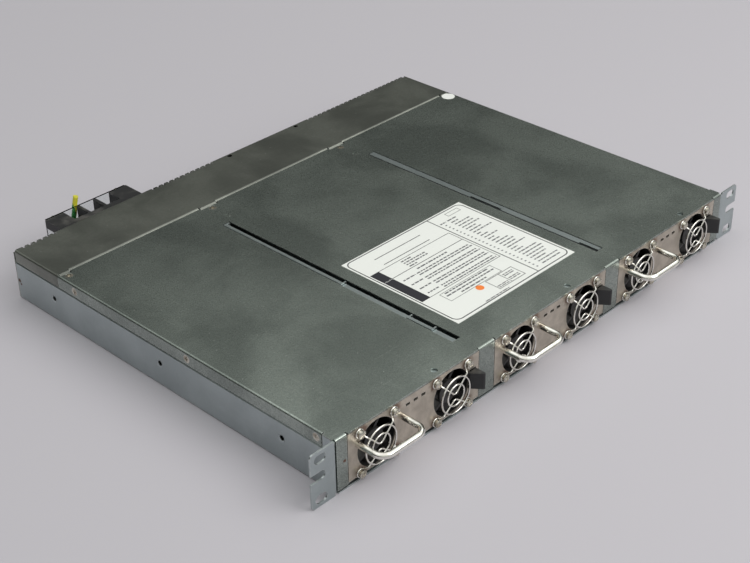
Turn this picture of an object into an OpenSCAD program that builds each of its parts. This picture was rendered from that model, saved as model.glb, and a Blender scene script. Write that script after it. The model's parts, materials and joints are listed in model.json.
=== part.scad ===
// Rack power shelf, one unit high. A folded steel shelf holds three plug-in
// power modules side by side. Each module has two fans behind wire guards, a
// bar handle and a release latch, and slides out towards the front.
// X runs to the right seen from the front, Y to the rear and Z up. The origin
// is the centre of the rack slots, on the rear faces of the ears.

/* [Rack ears] */
// Width over both ears
rack_w = 482.6; // [481:0.1:484]
// Height of an ear
ear_h = 43.66; // [43.4:0.02:44.2]
// Distance across the rack between slot centres
slot_pitch_x = 465.1; // [464:0.1:466]
// Height between the bottom and the top slots
slot_pitch_z = 31.75; // [31:0.05:32]
// Width of a slot
slot_w = 6.6; // [6:0.1:7]
// End-to-end length of a closed slot
slot_l = 10.4; // [9:0.1:11]
// Height of the open notch above the middle of the ear
notch_rise = 2.4; // [0:0.1:3]
// Length of the open notch from the edge of the ear
notch_l = 13; // [11:0.5:14]
// Radius of the outer corners of an ear
ear_corner_r = 3; // [1:0.5:4]

/* [Shelf body] */
// Width over the side walls
body_w = 439; // [438.6:0.1:442]
// Depth from the front faces to the rear wall
body_d = 351; // [348:1:370]
// Height over the floor and the cover
body_h = 43.3; // [43:0.1:43.6]
// Thickness of the tray sheet
tray_t = 1.2; // [1:0.1:1.3]
// Thickness of the cover sheets
cover_t = 1; // [0.8:0.1:1.1]
// Thickness of the divider and guide sheets
guide_t = 0.8; // [0.6:0.1:1]
// Inside radius of the sheet bends
bend_r = 0.8; // [0.5:0.1:1.2]
// Height of the pressed skids that carry the modules
skid_h = 0.8; // [0.4:0.1:0.9]
// Width of a pressed skid
skid_w = 6; // [4:0.5:8]
// Distance between the two skids of a bay
skid_pitch = 90; // [60:5:100]
// Height of the tray lip behind the rear wall
rear_lip_h = 9; // [6:0.5:12]

/* [Side holes] */
// Diameter of a side mounting hole
side_hole_d = 4.2; // [3:0.1:5]
// Diameter of the dimple round a side hole
side_dimple_d = 7; // [6:0.5:9]
// Distance between neighbouring side holes
side_hole_pitch = 126; // [110:1:128]
// Distance from the ear to the first side hole
side_hole_y = 49.3; // [40:0.1:60]
// Depth of a side hole below the middle of the shelf
side_hole_drop = 2.4; // [0:0.1:6]

/* [Covers] */
// Distance from the front faces to the seam between the covers
seam_y = 293.5; // [291:0.5:296]
// Height of the side flanges of the covers
flange_h = 9.9; // [8:0.1:12]
// Distance from the front faces to the side flanges
flange_setback = 12.1; // [9:0.1:16]
// Clearance between sheets that lie side by side
sheet_gap = 0.1; // [0.05:0.01:0.2]
// Outside radius of the rolled front edge of the rear cover
seam_r = 2.6; // [2:0.1:3]
// Depth of the rolled front edge
seam_drop = 9; // [6:0.5:12]
// Width of a relief notch beside a tab
relief_w = 1; // [0.6:0.1:1.4]
// Depth of a relief notch
relief_l = 2.4; // [2:0.1:4]
// Length of a screw tab under the front cover
seam_tab_l = 11; // [9:0.5:14]
// Depth of the notch over a screw tab
tab_notch = 2.2; // [2:0.1:3]
// Outside radius of the rear edge of the rear cover
rear_edge_r = 2.4; // [1.9:0.1:3]
// Gap between a front strip and the floor level
strip_lift = 2.4; // [1.5:0.1:4]
// Length of the divider slots in the front cover
cover_slot_l = 241.5; // [200:0.5:250]
// Width of a divider slot
cover_slot_w = 8; // [7:0.1:9]
// Distance from the front faces to a divider slot
cover_slot_y = 19.2; // [16:0.1:30]
// Diameter of the service hole over each module
service_hole_d = 5.2; // [4:0.1:6]
// Distance from the front faces to a service hole
service_hole_y = 6; // [5:0.1:9]
// Offset of a service hole from the middle of its module
service_hole_x = 24.8; // [10:0.1:40]

/* [Rear vents] */
// Distance between neighbouring vent slots
vent_pitch = 5.6; // [5:0.1:8]
// Width of a vent slot
vent_w = 3; // [2:0.1:4]
// Length of the vent slots in the top
vent_in = 4.2; // [3:0.1:6]
// Height of the vent slots down the rear wall
vent_h = 27; // [15:1:32]

/* [Bays] */
// Distance between neighbouring modules
bay_pitch = 144.5; // [143:0.1:144.8]
// Clearance between a module and the walls of its bay
bay_gap = 0.5; // [0.3:0.05:0.8]

/* [Modules] */
// Width of a module
module_w = 127.3; // [126:0.1:128]
// Height of a module case
module_h = 39.8; // [39.6:0.1:39.9]
// Depth of a module from its front face
module_d = 290; // [270:1:291]
// Thickness of the module sheets
case_t = 0.8; // [0.6:0.05:0.85]
// Thickness of the module front panel
panel_t = 1.2; // [1:0.1:1.5]
// Gap from the underside of the case to the lower edge of its panel
panel_lift = 1.5; // [1:0.1:2]
// Depth of the panel's side returns
return_l = 8; // [5:0.5:9]
// Width of an indicator window
window_w = 4; // [3:0.1:5]
// Height of an indicator window
window_h = 2.2; // [1.5:0.1:3]
// Distance between indicator windows
window_pitch = 7.5; // [6:0.1:9]
// Height of the indicator windows above the middle of the shelf
window_z = 14; // [10:0.1:15]

/* [Fans] */
// Width and height of a fan frame
fan_size = 38; // [37:0.1:38.1]
// Depth of a fan frame
fan_depth = 28; // [20:1:38]
// Distance between the screw holes of a fan
fan_hole_pitch = 32; // [31.5:0.1:32.4]
// Diameter of the air passage of a fan
fan_bore_d = 35.6; // [34:0.1:35.8]
// Distance of the left fan from the middle of the module
fan_left_x = 37.5; // [34:0.1:39]
// Distance of the right fan from the middle of the module
fan_right_x = 35.5; // [34:0.1:36]
// Number of blades on a rotor
blade_count = 7; // [5:1:9]
// Diameter over the rotor blades
rotor_d = 34.4; // [32:0.1:34.6]
// Diameter of the rotor hub
hub_d = 18; // [16:0.1:20]
// Depth of the rotor hub
hub_depth = 13; // [10:0.5:15]
// Thickness of a blade
blade_t = 0.9; // [0.7:0.05:1.2]
// Width of a blade round the rotor, from its front to its rear edge
blade_run = 9; // [5:0.5:11]
// Radius of the bow of a blade
blade_bow_r = 14; // [11:1:40]
// Diameter of the rotor shaft
shaft_d = 3; // [2:0.1:4]
// Radial clearance of the rotor shaft in its bearing
shaft_gap = 0.05; // [0.02:0.01:0.1]

/* [Wire guards] */
// Diameter of the guard wire
wire_d = 1.3; // [1:0.05:1.5]
// Diameter of the outer ring at the wire's centre
ring_outer_d = 28.2; // [24:0.1:30]
// Diameter of the inner ring at the wire's centre
ring_inner_d = 16.4; // [12:0.1:18]
// Distance of the rings in front of the panel
ring_stand = 4.3; // [3:0.1:5]
// Height of the upper wire's turn above the middle of the fan
upper_turn_z = 0.8; // [0:0.1:3]
// Depth of the lower wire's turn below the middle of the fan
lower_turn_z = 4.2; // [2:0.1:6]
// Radius of the turns at the wire's centre
turn_r = 3; // [2:0.1:4]
// Inner diameter of a guard's eyes
eye_hole_d = 4.6; // [4.5:0.1:5]
// Length of the bend where a wire drops to the panel
guard_slant = 3; // [2:0.1:4]

/* [Fan screws] */
// Diameter of the screw thread
screw_d = 3; // [2.5:0.1:3.2]
// Diameter of the screw head
head_d = 6.2; // [5.5:0.1:6.6]
// Height of the screw head
head_h = 2.4; // [1.8:0.1:3]
// Diameter of the spring washer under the head
washer_d = 5.2; // [4.6:0.1:5.2]
// Thickness of the spring washer
washer_t = 0.9; // [0.6:0.1:1.2]

/* [Handles] */
// Diameter of the handle rod
rod_d = 4.8; // [4:0.1:5.5]
// Distance between the legs of the handle
handle_w = 40.6; // [36:0.1:44]
// Distance of the handle's bar in front of the panel
handle_reach = 23; // [18:0.5:30]
// Height of the handle above the middle of the shelf
handle_z = 8.5; // [6:0.1:10]
// Offset of the handle from the middle of the left fan
handle_shift = 2.7; // [0:0.1:5]
// Radius of the handle bends at the rod's centre
handle_bend_r = 8; // [6:0.5:10]

/* [Latches] */
// Distance of the latch's outer face from the middle of the module
latch_x = 60.3; // [60:0.1:60.6]
// Height of the latch
latch_h = 12.8; // [10:0.1:14]
// Height of the latch's middle above the middle of the shelf
latch_z = 1.8; // [0:0.1:3]
// Reach of the thumb piece in front of the panel
latch_reach = 10; // [7:0.1:12]
// Width of the thumb piece
latch_thumb_w = 8.4; // [7:0.1:9]
// Thickness of the latch arm
latch_t = 2.3; // [1.8:0.1:2.4]
// Distance from the front faces to the latch pivot
latch_pivot_y = 72; // [60:1:90]
// Diameter of the latch pivot
latch_pin_d = 2.4; // [2:0.1:2.6]
// Radial clearance of the latch on its pivot
latch_pin_gap = 0.05; // [0.02:0.01:0.1]
// Distance from the front faces to the latch nose
latch_nose_y = 16; // [12:0.5:24]

/* [Backplane] */
// Distance from the front faces to the backplane
backplane_y = 305; // [304:0.5:315]
// Thickness of the backplane board
board_t = 1.6; // [1:0.1:2.4]
// Height of the backplane board
backplane_h = 36; // [28:1:38]
// Width of a module plug
plug_w = 64; // [50:1:80]
// Height of a module plug
plug_h = 9; // [7:0.5:12]
// Length that a plug reaches behind its module
plug_l = 9; // [6:0.5:10]
// Wall of a module socket
socket_wall = 3; // [2:0.5:4]
// Clearance round a plug in its socket
plug_gap = 0.4; // [0.2:0.05:0.6]

/* [Output bars] */
// Thickness of a bus bar
bar_t = 3; // [2:0.5:4]
// Height of a bus bar
bar_h = 12; // [8:0.5:14]
// Width of an output tab
bar_tab_w = 26; // [20:1:30]
// Reach of an output tab behind the rear wall
bar_tab_l = 22; // [16:1:30]
// Diameter of the hole in an output tab
bar_hole_d = 8.4; // [6:0.1:10]
// Distance of the negative tab from the middle of the shelf
bar_negative_x = 41; // [40:1:44]
// Distance of the positive tab from the middle of the shelf
bar_positive_x = 75; // [73:1:78]

/* [Input terminals] */
// Distance of the terminal block from the middle of the shelf
block_x = 131; // [125:0.5:136]
// Height of the terminal block's top above the middle of the shelf
block_top = 17; // [14:0.5:18]
// Height of the terminal block
block_h = 30; // [26:0.5:32]
// Reach of the terminal block behind the rear wall
block_reach = 26.5; // [22:0.5:30]
// Depth of the solid base of the terminal block
block_base = 11; // [8:0.5:13]
// Width of an end block
block_end_w = 17.8; // [15:0.1:20]
// Width of a wire compartment
cell_w = 13.3; // [11:0.1:15]
// Thickness of a barrier between compartments
barrier_t = 2.75; // [2:0.05:3.5]
// Thickness of the clear cover
clear_t = 1.5; // [1:0.1:2]
// Height of the clear cover
clear_h = 20; // [15:0.5:22]
// Diameter of the earth wire
earth_d = 4.2; // [3:0.1:5]

/* [Signal connector] */
// Width of the connector's flange
signal_w = 39; // [36:0.5:41]
// Height of the connector's flange
signal_h = 12.5; // [11:0.5:13]
// Distance from the middle of the shelf
signal_x = 3; // [2:0.5:5]

/* [Cover screws] */
// Diameter of a countersunk head
flat_head_d = 6.2; // [5:0.1:7]
// Diameter of a countersunk screw's thread
flat_thread_d = 3; // [2.5:0.1:3.5]

/* [Labels] */
// Distance from the front faces to the rating label
label_y = 31; // [22:0.5:40]
// Width of the rating label
label_w = 133; // [110:1:140]
// Depth of the rating label
label_d = 116.5; // [90:0.5:118]
// Thickness of a label
label_t = 0.15; // [0.1:0.05:0.3]
// Diameter of the round sticker
sticker_d = 12; // [8:0.5:13]

/* [Hidden] */
$fn = 48;
EPS = 0.01;                      // overreach of a cut
SHELF_NODES = [
    "tray", "front_cover", "rear_cover", "divider_left", "divider_right",
    "side_guide_left", "side_guide_right", "backplane", "backplane_posts",
    "module_sockets", "bus_bar_negative", "bus_bar_positive", "terminal_block",
    "terminal_cover", "terminal_screws", "earth_wire", "signal_connector",
    "cover_screws", "rating_label", "round_sticker"];
MODULE_NODES = [
    "case", "cover", "panel", "handle", "latch", "fan_left", "fan_right",
    "rotor_left", "rotor_right", "guard_left", "guard_right", "fan_screws",
    "board"];

// Colours
zinc = "#7c857f";
zinc_blue = "#8394a0";
cover_grey = "#5c625c";
beige = "#a0978a";
black = "#1c1c1e";
chrome = "#c8c8c4";
board_green = "#2f5d3a";
copper = "#b87a4b";
paper = "#e6e7df";

// Shelf: main planes
half_w = body_w / 2;
front_y = -tray_t;               // front faces of ears, strips and panels
rear_y = front_y + body_d;       // rear face of the rear wall
floor_z = -ear_h / 2;            // underside of the tray
floor_top = floor_z + tray_t;
top_z = floor_z + body_h;        // top face of both covers
roof_z = top_z - cover_t;        // underside of both covers
wall_top = roof_z - sheet_gap;
flat_r = bend_r + cover_t;       // outside radius of a cover bend
step_top = top_z - flat_r - sheet_gap;
flange_z = roof_z + cover_t - flange_h;
flange_y = front_y + flange_setback;
seam = front_y + seam_y;         // front face of the rolled edge
cover_end = seam - 0.3;          // rear edge of the front cover
tray_rear = rear_y - cover_t - sheet_gap;
joggle = cover_t + sheet_gap;    // inward step of a side wall
joggle_z = flange_z - sheet_gap - 0.5;
joggle_run = 1.2;                // height of the step's slope
inner_wall = half_w - tray_t - joggle;

// Bays
bay_w = module_w + 2 * bay_gap;
divider_w = bay_pitch - bay_w;
divider_x = bay_pitch / 2;
bay_edge = bay_pitch + bay_w / 2;
guide_reach = inner_wall - sheet_gap - bay_edge;
guide_front = front_y + flat_r;
guide_rear = cover_end - seam_tab_l - 3;
slot_x = divider_x + divider_w / 2 + 1.75;
skid_top = floor_top + skid_h;

// Modules
case_z = skid_top + sheet_gap;
case_top = case_z + module_h;
case_in = case_z + case_t;       // top of the case floor
lid_z = case_top - case_t;       // underside of the module cover
fan_z = (case_in + lid_z) / 2;
fan_y = front_y + panel_t;       // front face of a fan frame
case_rear = front_y + module_d;
panel_z = case_z + panel_lift;
latch_mid = latch_x - latch_t / 2;
pivot_y = front_y + latch_pivot_y;
latch_bore_r = latch_pin_d / 2 + latch_pin_gap;
latch_hub_r = latch_bore_r + 1;
nose_y = front_y + latch_nose_y;
nose_reach = 0.35;               // how far the nose passes the case wall

// Rear
bp_y = front_y + backplane_y;
bp_z = case_z + module_h / 2;    // middle of plugs, sockets and backplane
socket_y = case_rear + 0.8;
bar_y = bp_y + board_t;
bar_z = floor_top + 4;
block_z = block_top - block_h / 2;
block_end_y = rear_y + block_reach;
block_w = 2 * block_end_w + 3 * cell_w + 2 * barrier_t;
cell_pitch = cell_w + barrier_t;
clear_z = block_top - clear_h;
terminal_z = clear_z - 1.5;      // middle of the clamp screws
clamp_t = 1.2;                   // thickness of a wire clamp
signal_z = floor_top + 12;

// Earth wire: clamped in the left compartment, out to the rear and up
EARTH_POINTS = [
    [-147, 362, -10.7], [-147, 368, -10.7], [-146.6, 373, -10.3], [-146, 376.4, -8.6],
    [-145, 378.9, -5.4], [-144, 380.2, -1], [-143, 380.6, 4], [-141, 380.6, 11],
    [-139, 380.6, 18], [-137.4, 380.6, 24]];
EARTH_SIDES = 10;

function module_x(n) = (n - 2) * bay_pitch;

// Draws a section of X and Z along Y from y0 to y1
module along_y(y0, y1)
    translate([0, y1, 0]) rotate([90, 0, 0]) linear_extrude(y1 - y0) children();

// Draws a section of Y and Z along X from x0 to x1
module along_x(x0, x1)
    translate([x0, 0, 0]) rotate([90, 0, 90]) linear_extrude(x1 - x0) children();

// A flat rectangle between two corners
module rect(a, b) translate(a) square(b - a);

// A block between two corners
module block(a, b) translate(a) cube(b - a);

// A quarter ring, the section of a bend, in the first quadrant
module bend(r, t)
    intersection() {
        difference() { circle(r + t); circle(r); }
        square(r + t);
    }

// A rod along Y between y0 and y1
module rod_y(x, z, d, y0, y1)
    translate([x, y1, z]) rotate([90, 0, 0]) cylinder(d = d, h = y1 - y0);

// A slot with round ends along X, drawn in X and Z
module obround(l, w)
    union() {
        square([l - w, w], center = true);
        for (s = [-1, 1]) translate([s * (l - w) / 2, 0]) circle(d = w);
    }

// Both sides of the shelf
module both_sides() { children(); mirror([1, 0, 0]) children(); }

// ---------- tray ----------
// Section of the floor and the right wall: x from the middle of the shelf
module tray_section(stepped) {
    r = bend_r + tray_t;
    rect([0, floor_z], [half_w - r, floor_top]);
    translate([half_w - r, floor_z + r]) mirror([0, 1]) bend(bend_r, tray_t);
    if (stepped) {
        polygon([
            [half_w - tray_t, floor_z + r], [half_w, floor_z + r],
            [half_w, joggle_z - joggle_run], [half_w - joggle, joggle_z],
            [half_w - joggle, step_top], [inner_wall, step_top],
            [inner_wall, joggle_z], [half_w - tray_t, joggle_z - joggle_run]]);
    } else rect([half_w - tray_t, floor_z + r], [half_w, wall_top]);
}

// Plan of an ear: the wall's front edge turned outwards
module ear() {
    r = bend_r + tray_t;
    difference() {
        union() {
            translate([0, 0, floor_z + r]) linear_extrude(wall_top - floor_z - r)
                translate([half_w + bend_r, bend_r]) rotate(180) bend(bend_r, tray_t);
            along_y(front_y, 0) difference() {
                rect([half_w + bend_r, -ear_h / 2], [rack_w / 2, ear_h / 2]);
                for (s = [-1, 1]) translate([rack_w / 2, s * ear_h / 2]) difference() {
                    square(2 * ear_corner_r, center = true);
                    translate([-ear_corner_r, -s * ear_corner_r]) circle(ear_corner_r);
                    translate([-2 * ear_corner_r, -ear_corner_r])
                        square([ear_corner_r, 2 * ear_corner_r]);
                    translate([-ear_corner_r, -s * 2 * ear_corner_r - ear_corner_r / 2])
                        square([2 * ear_corner_r, ear_corner_r]);
                }
            }
        }
        along_y(front_y - 1, 1) {
            for (s = [-1, 1]) translate([slot_pitch_x / 2, s * slot_pitch_z / 2])
                obround(slot_l, slot_w);
            translate([rack_w / 2, notch_rise]) obround(2 * notch_l, slot_w);
        }
    }
}

module side_holes()
    for (i = [0:2]) translate([half_w, side_hole_y + i * side_hole_pitch, -side_hole_drop])
        rotate([0, 90, 0]) {
            cylinder(d = side_hole_d, h = 4 * tray_t, center = true);
            translate([0, 0, -0.4]) cylinder(d1 = side_hole_d, d2 = side_dimple_d, h = 0.41);
        }

module tray() color(zinc_blue) {
    difference() {
        union() {
            both_sides() {
                along_y(front_y, bend_r) rect([0, floor_z], [half_w - bend_r - tray_t, floor_top]);
                along_y(bend_r, flange_y - 1) tray_section(false);
                along_y(flange_y - 1, tray_rear) tray_section(true);
                ear();
            }
            // pressed skids
            for (n = [1:3]) for (s = [-1, 1])
                translate([module_x(n) + s * skid_pitch / 2, 0, 0])
                    along_y(6, guide_rear) polygon([
                        [-skid_w / 2, floor_top], [skid_w / 2, floor_top],
                        [skid_w / 2 - skid_h, skid_top], [skid_h - skid_w / 2, skid_top]]);
            // rear lip
            block([-inner_wall, tray_rear - tray_t, floor_top - EPS],
                [inner_wall, tray_rear, floor_top + rear_lip_h]);
        }
        both_sides() side_holes();
        at_flange_screws() cylinder(d = flat_thread_d - 0.4, h = 12, center = true);
        bar_openings(1, rear_lip_h);
        signal_opening(rear_lip_h);
    }
}

// ---------- covers ----------
// Places where the strips hang down from the front cover: [x, width]
end_strip_x = (bay_edge + half_w - tray_t) / 2;
end_strip_w = half_w - tray_t - bay_edge;
STRIPS = [
    [-end_strip_x, end_strip_w], [-divider_x, divider_w],
    [divider_x, divider_w], [end_strip_x, end_strip_w]];
// Places where the covers are screwed together: [x, width]
end_tab_x = (bay_edge + inner_wall) / 2;
end_tab_w = inner_wall - bay_edge - 2 * sheet_gap;
seam_tab_w = divider_w - 2 * sheet_gap;
SEAM_TABS = [
    [-end_tab_x, end_tab_w], [-divider_x, seam_tab_w], [divider_x, seam_tab_w],
    [end_tab_x, end_tab_w]];
SEAM_SCREW_Y = seam - 6;
SEAM_SCREWS = [-end_tab_x, -divider_x, divider_x, end_tab_x];
FLANGE_SCREWS_Y = [15.8, 143.5, 271.8];
FLANGE_SCREW_Z = top_z - 5.1;
flange_screw_l = cover_t + tray_t + 1.5;

// Section of a strip: a flat front tab hanging from a bend
module strip_section() {
    translate([front_y + flat_r, top_z - flat_r]) mirror([1, 0]) bend(bend_r, cover_t);
    rect([front_y, floor_z + strip_lift], [front_y + cover_t, top_z - flat_r]);
    rect([front_y + flat_r, roof_z], [front_y + relief_l + 1, top_z]);
}

// Section of a cover's right edge with its side flange
module flange_section(x0) {
    rect([x0, roof_z], [half_w - flat_r, top_z]);
    translate([half_w - flat_r, top_z - flat_r]) bend(bend_r, cover_t);
    rect([half_w - cover_t, flange_z], [half_w, top_z - flat_r]);
}

// Countersunk hole downwards from the origin
module countersink() {
    translate([0, 0, -cover_t * 3]) cylinder(d = flat_thread_d + 0.4, h = cover_t * 4);
    translate([0, 0, -cover_t]) cylinder(
        d1 = flat_head_d - 2 * cover_t + 0.1, d2 = flat_head_d + 0.1, h = cover_t);
    cylinder(d = flat_head_d + 0.1, h = 1);
}

module at_seam_screws(z)
    for (x = SEAM_SCREWS) translate([x, SEAM_SCREW_Y, z]) children();

module at_flange_screws()
    for (s = [-1, 1]) for (y = FLANGE_SCREWS_Y)
        translate([s * half_w, y, FLANGE_SCREW_Z]) rotate([0, s * 90, 0]) children();

module front_cover() color(cover_grey) {
    difference() {
        union() {
            both_sides() {
                block([0, front_y + relief_l, roof_z], [half_w, flange_y - relief_w, top_z]);
                along_y(flange_y - relief_w - EPS, flange_y) rect([0, roof_z], [half_w - 2, top_z]);
                along_y(flange_y, cover_end) flange_section(0);
            }
            for (n = [1:3]) translate([module_x(n), 0, 0])
                block([-bay_w / 2 + relief_w, front_y, roof_z],
                    [bay_w / 2 - relief_w, front_y + relief_l + EPS, top_z]);
            for (s = STRIPS) along_x(s[0] - s[1] / 2 + sheet_gap, s[0] + s[1] / 2 - sheet_gap)
                strip_section();
        }
        both_sides() {
            block([slot_x - cover_slot_w / 2, front_y + cover_slot_y, roof_z - 1],
                [slot_x + cover_slot_w / 2, front_y + cover_slot_y + cover_slot_l, top_z + 1]);
            // flush rivets hold the dividers, and leave a ring
            translate([divider_x, cover_end - 24, top_z]) difference() {
                cylinder(d = 5.2, h = 1, center = true);
                cylinder(d = 3.6, h = 2, center = true);
            }
        }
        // the rear edge makes room for the stepped tabs
        for (t = SEAM_TABS) block([t[0] - t[1] / 2 - relief_w, cover_end - tab_notch, roof_z - 1],
            [t[0] + t[1] / 2 + relief_w, cover_end + 1, top_z + 1]);
        for (n = [1:3]) translate([module_x(n) + service_hole_x, front_y + service_hole_y, roof_z - 1])
            cylinder(d = service_hole_d, h = cover_t + 2);
        at_seam_screws(top_z) countersink();
        at_flange_screws() countersink();
    }
}

// Section of the rolled front edge of the rear cover
module seam_section() {
    translate([seam + seam_r, top_z - seam_r]) mirror([1, 0]) bend(seam_r - cover_t, cover_t);
    rect([seam, top_z - seam_drop], [seam + cover_t, top_z - seam_r]);
    rect([seam + seam_r, roof_z], [seam + seam_r + 2, top_z]);
}

// Section of a screw tab: stepped down under the front cover
module seam_tab_section() {
    z = roof_z - sheet_gap;
    polygon([
        [cover_end - seam_tab_l, z - cover_t], [seam - 1, z - cover_t],
        [seam + 1.4, roof_z], [seam + seam_r + 2, roof_z],
        [seam + seam_r + 2, top_z], [seam + 0.6, top_z], [seam - 1.8, z],
        [cover_end - seam_tab_l, z]]);
}

// Rear vent slots: groups as [first x, number of slots]
VENT_GROUPS = [[-210.6, 6], [-84, 12], [93, 23]];
module vents()
    for (g = VENT_GROUPS) for (i = [0:g[1] - 1])
        translate([g[0] + i * vent_pitch - vent_w / 2, rear_y - vent_in, top_z - vent_h])
            cube([vent_w, vent_in + 1, vent_h + 1]);

// Clear passages in the rear wall for the output tabs
module bar_openings(clear, up)
    for (x = [bar_negative_x, bar_positive_x])
        block([x - bar_tab_w / 2 - clear, tray_rear - 3, bar_z - clear],
            [x + bar_tab_w / 2 + clear, rear_y + 1, bar_z + bar_t + clear + up]);

module signal_opening(up)
    block([signal_x - signal_w / 2 + 5.5, tray_rear - 3, signal_z - signal_h / 2 + 1.5],
        [signal_x + signal_w / 2 - 5.5, rear_y + 1, signal_z + signal_h / 2 - 1.5 + up]);

module rear_cover() color(cover_grey) {
    tab_edges = [for (t = SEAM_TABS) [t[0] - t[1] / 2, t[0] + t[1] / 2]];
    difference() {
        union() {
            both_sides() {
                along_y(seam, seam + seam_r + 1 + EPS) flange_section(half_w - flat_r - 0.4);
                along_y(seam + seam_r + 1, rear_y - rear_edge_r) flange_section(0);
            }
            // top plate in front of the flanges' start
            both_sides() block([0, seam + seam_r, roof_z], [half_w - flat_r, seam + seam_r + 1.5, top_z]);
            for (i = [0:2]) along_x(tab_edges[i][1] + relief_w, tab_edges[i + 1][0] - relief_w)
                seam_section();
            for (e = tab_edges) along_x(e[0], e[1]) seam_tab_section();
            // rear edge and rear wall
            along_x(-half_w + flat_r, half_w - flat_r) {
                translate([rear_y - rear_edge_r, top_z - rear_edge_r])
                    bend(rear_edge_r - cover_t, cover_t);
            }
            along_x(-half_w + sheet_gap, half_w - sheet_gap)
                rect([rear_y - cover_t, floor_z + 1], [rear_y, top_z - rear_edge_r]);
        }
        vents();
        at_seam_screws(roof_z - sheet_gap) translate([0, 0, -cover_t - 1])
            cylinder(d = flat_thread_d - 0.4, h = cover_t + 2);
        bar_openings(1.5, 0);
        signal_opening(0);
        // lead-through behind the terminal block
        block([-block_x - 20, rear_y - cover_t - 1, block_z - 8], [-block_x + 20, rear_y + 1, block_z + 8]);
        // locating holes near the rear edge
        for (x = [-2.6, 74.8]) translate([x, rear_y - 4.6, roof_z - 1]) cylinder(d = 4.4, h = cover_t + 2);
    }
}

// Flush heads and threads
module flat_screw(l) {
    translate([0, 0, -cover_t]) cylinder(
        d1 = flat_head_d - 2 * cover_t, d2 = flat_head_d, h = cover_t - 0.05);
    translate([0, 0, -l]) cylinder(d = flat_thread_d - 0.45, h = l - cover_t + EPS);
}

module cover_screws() color(copper) {
    difference() {
        union() {
            at_seam_screws(top_z) flat_screw(cover_t + 2);
            at_flange_screws() flat_screw(flange_screw_l);
        }
        at_seam_screws(top_z) cross_recess(3.2);
        at_flange_screws() translate([0, 0, 0.35]) cross_recess(3.2);
    }
}

// Cross recess cut down from the origin
module cross_recess(l)
    for (a = [0, 90]) rotate(a) translate([-l / 2, -0.4, -0.7]) cube([l, 0.8, 2]);

// ---------- dividers and guides ----------
// Stretches of the outward flange that show in the cover's slot, and the
// cuts between it and the wall: [from, to] behind the front faces
FLANGE_RIGHT = [[19.8, 260]];
CUTS_RIGHT = [[19.8, 37.5], [115, 147]];
FLANGE_LEFT = [[39.8, 63.8], [129, 260]];
CUTS_LEFT = [[19.8, 39.8], [41, 62.6], [63.8, 129], [130.2, 258.2]];
slot_flange_w = 4.7;
slot_flange_z = roof_z + sheet_gap;

// A U-shaped channel between two bays. Its outer wall rises into the slot of
// the cover and turns outwards there. side is 1 for the right divider. A cut
// runs from the wall to cut_w beyond it, and goes cut_h below the flange.
module divider(side, flanges, cuts, cut_w, cut_h) {
    w = divider_w / 2 - sheet_gap;
    difference() {
        union() {
            block([divider_x - w, guide_front, floor_top], [divider_x + w, guide_rear, floor_top + guide_t]);
            for (s = [-1, 1]) block(
                [divider_x + s * w - (s + 1) / 2 * guide_t, guide_front, floor_top],
                [divider_x + s * w + (1 - s) / 2 * guide_t, guide_rear, wall_top]);
            for (f = flanges) {
                block([divider_x + w - guide_t, front_y + f[0], wall_top - 1],
                    [divider_x + w, front_y + f[1], slot_flange_z + guide_t]);
                block([divider_x + w - guide_t, front_y + f[0], slot_flange_z],
                    [divider_x + w + slot_flange_w, front_y + f[1], slot_flange_z + guide_t]);
            }
        }
        for (c = cuts) block([divider_x + w - guide_t - 1, front_y + c[0], slot_flange_z - cut_h],
            [divider_x + w + cut_w, front_y + c[1], slot_flange_z + 2]);
        // window for the nose of the latch, in the wall right of a bay
        latch_window(divider_x - side * (divider_w / 2));
    }
}

module latch_window(x)
    block([x - 2, nose_y - 3.5, latch_z - 4.5], [x + 2, nose_y + 3.5, latch_z + 4.5]);

module divider_left() color(zinc_blue) mirror([1, 0, 0]) divider(-1, FLANGE_LEFT, CUTS_LEFT, 2.3, 9);
module divider_right() color(zinc_blue) divider(1, FLANGE_RIGHT, CUTS_RIGHT, 1, 3);

// A C-shaped channel between an outer bay and the side wall
module side_guide() {
    difference() {
        block([bay_edge + sheet_gap, guide_front, floor_top],
            [bay_edge + guide_reach, guide_rear, wall_top]);
        block([bay_edge + sheet_gap + guide_t, guide_front - 1, floor_top + guide_t],
            [half_w, guide_rear + 1, wall_top - guide_t]);
        translate([half_w - tray_t, 0, 0]) block([-3, guide_front - 1, floor_top - 1],
            [3, guide_rear + 1, floor_top + bend_r + 0.5]);
    }
}
module side_guide_left() color(zinc_blue) mirror([1, 0, 0]) side_guide();
module side_guide_right() color(zinc_blue) difference() {
    side_guide();
    latch_window(bay_edge);
}

// ---------- backplane ----------
socket_w = plug_w + 2 * plug_gap + 2 * socket_wall;
socket_h = plug_h + 2 * plug_gap + 2 * socket_wall;

module backplane() color(board_green) difference() {
    block([-bay_edge - 2, bp_y, bp_z - backplane_h / 2], [bay_edge + 2, bp_y + board_t, bp_z + backplane_h / 2]);
    // air windows beside the sockets
    for (n = [1:3]) for (s = [-1, 1]) translate([module_x(n) + s * (socket_w / 2 + 13), bp_y, bp_z])
        cube([18, 3 * board_t, backplane_h - 10], center = true);
}

module backplane_posts() color(chrome) difference() {
    for (x = [-1, 1]) translate([x * (bay_edge + 4), bp_y + board_t / 2, floor_top])
        translate([-3.5, -5, 0]) cube([7, 10, bp_z + backplane_h / 2 - floor_top]);
    // grooves that hold the board's edges
    block([-bay_edge - 2 - sheet_gap, bp_y - sheet_gap / 2, bp_z - backplane_h / 2],
        [bay_edge + 2 + sheet_gap, bp_y + board_t + sheet_gap / 2, bp_z + backplane_h / 2 + 1]);
}

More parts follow.
